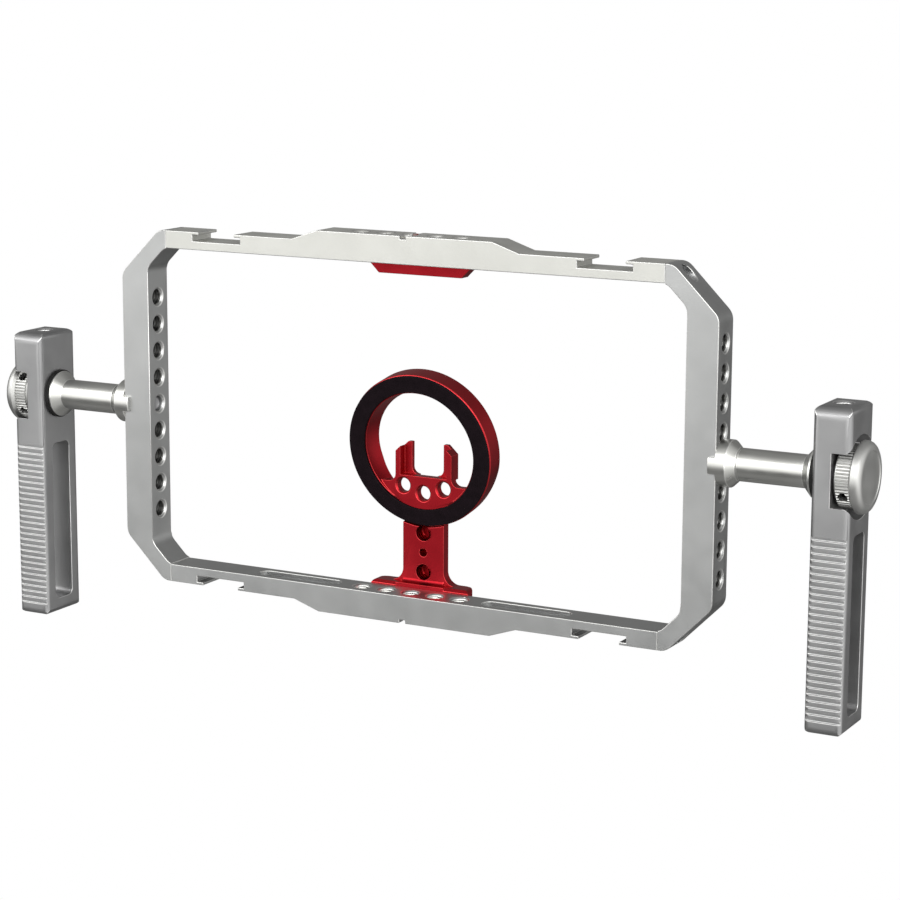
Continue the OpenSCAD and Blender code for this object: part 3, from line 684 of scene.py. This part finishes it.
def add_sweep(name, made):
    """A piece of the sweep from a bmesh, seen by the camera but in no reflection."""
    mesh = bpy.data.meshes.new(name)
    made.to_mesh(mesh)
    made.free()
    mesh.materials.append(pale)
    sheet = bpy.data.objects.new(name, mesh)
    scene.collection.objects.link(sheet)
    sheet.visible_glossy = False
    sheet.visible_diffuse = False
    return sheet


made = bmesh.new()
bmesh.ops.create_circle(made, cap_ends=True, segments=SWEEP_SIDES, radius=SWEEP_R)
add_sweep("floor", made)
made = bmesh.new()
bmesh.ops.create_cone(made, segments=SWEEP_SIDES, radius1=SWEEP_R, radius2=SWEEP_R, depth=SWEEP_H)
backdrop = add_sweep("backdrop", made)
backdrop.visible_shadow = False
print("sweep", backdrop.dimensions.x, "m wide")

# %% [markdown]
# ## A room of soft light
# In a studio, large white surfaces light metal, because it mirrors them. Lamps could stand for them, but
# each leaves a small hard highlight unless it is very large. Here the room itself gives the light: the
# strength of the world's light depends on the direction it comes from. The helpers turn a direction into a
# strength, and a few such strengths added up make the room.

# %% Helpers for the light
scene.view_settings.view_transform = "Standard"
scene.world = bpy.data.worlds.new("studio")
scene.world.use_nodes = True
nodes = scene.world.node_tree.nodes
links = scene.world.node_tree.links


def fade(value, start, end, low, high):
    """A smooth change from low to high while the value goes from start to end."""
    mapped = nodes.new("ShaderNodeMapRange")
    mapped.interpolation_type = "SMOOTHSTEP"
    mapped.inputs["From Min"].default_value = start
    mapped.inputs["From Max"].default_value = end
    mapped.inputs["To Min"].default_value = low
    mapped.inputs["To Max"].default_value = high
    links.new(value, mapped.inputs["Value"])
    return mapped.outputs["Result"]


def combine(operation, first, second):
    """The sum or the product of two values."""
    made = nodes.new("ShaderNodeMath")
    made.operation = operation
    links.new(first, made.inputs[0])
    links.new(second, made.inputs[1])
    return made.outputs["Value"]


# %% Light
# A direction points from the cage into the room: X to the right, Y to the back and Z up, each from -1 to 1.
direction = nodes.new("ShaderNodeTexCoord")
parts = nodes.new("ShaderNodeSeparateXYZ")
links.new(direction.outputs["Generated"], parts.inputs["Vector"])
x, y, z = parts.outputs
# A bright wall in front, dark near the floor and dimmer towards the ceiling
above_floor = fade(z, start=-0.26, end=-0.06, low=0.05, high=1)
below_ceiling = fade(z, start=0.3, end=0.7, low=1, high=0.3)
band = combine("MULTIPLY", above_floor, below_ceiling)
wall = combine("MULTIPLY", fade(y, start=-0.75, end=0.1, low=1.66, high=0), band)
# A softbox above the wall, on the front half of the room
lower_rim = fade(z, start=0.28, end=0.42, low=0, high=3.2)
upper_rim = fade(z, start=0.58, end=0.74, low=1, high=0)
softbox = combine("MULTIPLY", lower_rim, upper_rim)
softbox = combine("MULTIPLY", softbox, fade(y, start=-0.5, end=-0.1, low=1, high=0))
# A lighter end on the right, in two steps
near_end = fade(x, start=0.44, end=0.76, low=0, high=0.6)
far_end = fade(x, start=0.76, end=0.94, low=0, high=0.6)
side_wall = combine("ADD", near_end, far_end)
# A little light from straight above, from the floor and from all round
ceiling = fade(z, start=0.5, end=0.95, low=0, high=0.12)
ground = fade(z, start=-0.8, end=-0.5, low=0.18, high=0)
light = fade(z, start=-0.35, end=0.25, low=0.10, high=0.24)
for part in (wall, softbox, side_wall, ceiling, ground):
    light = combine("ADD", light, part)
WARM_WHITE = (1, 1, 0.985, 1)
background = nodes["Background"]
background.inputs["Color"].default_value = WARM_WHITE
links.new(light, background.inputs["Strength"])
print("light from", len(nodes), "nodes")

# %% [markdown]
# ## The camera
# The camera stands where the photograph was taken from. It could be placed by eye, but its place, its turn
# and its lens were found by fitting the corners of the frame to their places in the picture, which brings
# the other pieces close to theirs too. The right and up directions of the picture give the camera's turn.

# %% Camera
EYE = Vector((0.39761, -0.71567, 0.23256))
RIGHT = Vector((0.88089, 0.47331, 0.00466))
UP = Vector((-0.0953, 0.16772, 0.98122))
SENSOR_MM = 36
LENS_MM = 102.405
NEAREST = 10 * MM
camera_data = bpy.data.cameras.new("camera")
camera_data.sensor_width = SENSOR_MM
camera_data.lens = LENS_MM
camera_data.clip_start = NEAREST
camera = bpy.data.objects.new("camera", camera_data)
scene.collection.objects.link(camera)
turn = Matrix((RIGHT, UP, RIGHT.cross(UP))).transposed()
camera.matrix_world = Matrix.Translation(EYE) @ turn.to_4x4()
scene.camera = camera
print("camera", round(EYE.length, 3), "m from the origin")
